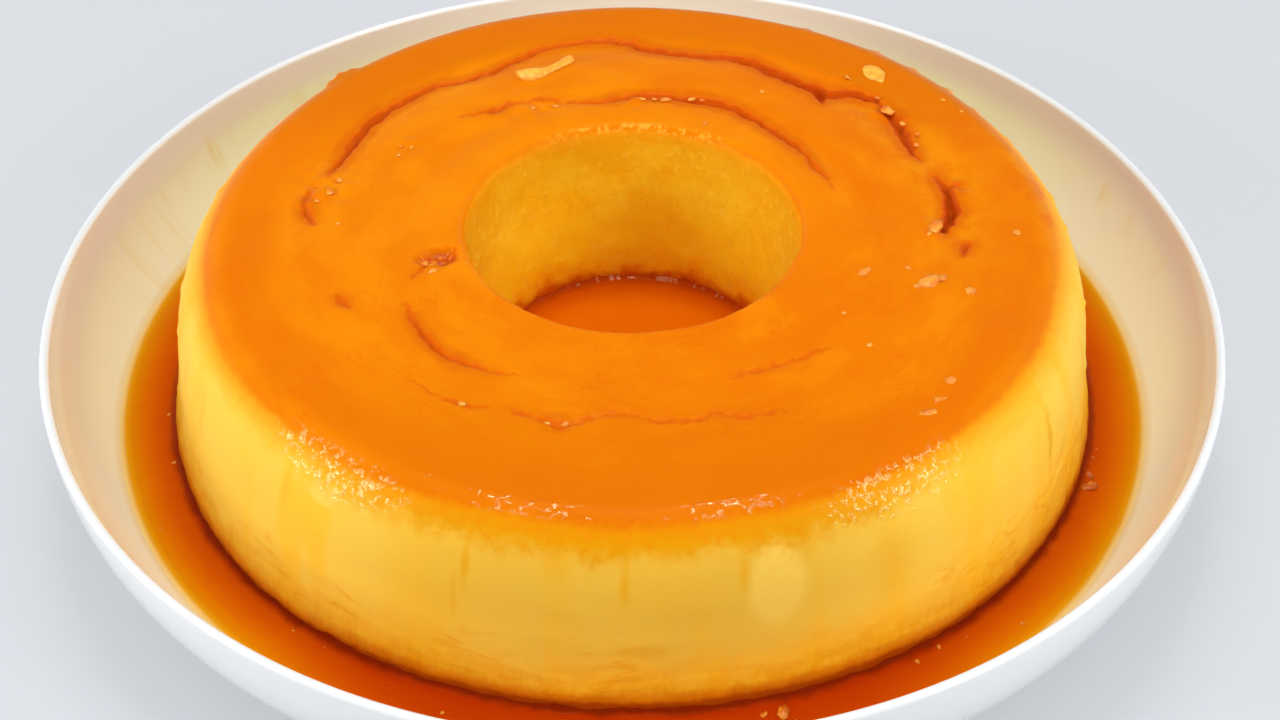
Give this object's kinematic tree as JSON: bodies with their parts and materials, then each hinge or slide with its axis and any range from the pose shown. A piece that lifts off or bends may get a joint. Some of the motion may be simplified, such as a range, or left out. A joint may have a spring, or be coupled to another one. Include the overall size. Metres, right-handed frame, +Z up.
{
  "type": "creme caramel flan",
  "caption": "Ring of baked custard turned out into a shallow round white bowl, its top coated with caramel that pools round its foot and in its hole.",
  "frame": {"origin": "on the table, under the centre of the bowl's foot ring", "axes": "+Z up along the axis of the ring and the bowl, -Y towards the front"},
  "size_m": [0.298, 0.298, 0.0659],
  "materials": {
    "white_porcelain": "smooth white glazed porcelain, clear gloss",
    "baked_custard": "moist yellow set custard, glazed orange with thin caramel over its top and shoulder",
    "caramel": "wet amber syrup, paler where it thins against the bowl",
    "pale_custard": "pale moist shreds of custard"
  },
  "bodies": {
    "root": {"dish": "white_porcelain", "flan": "baked_custard", "caramel_pool": "caramel", "caramel_centre": "caramel", "custard_shred": "pale_custard", "custard_flake": "pale_custard"}
  },
  "joints": []
}
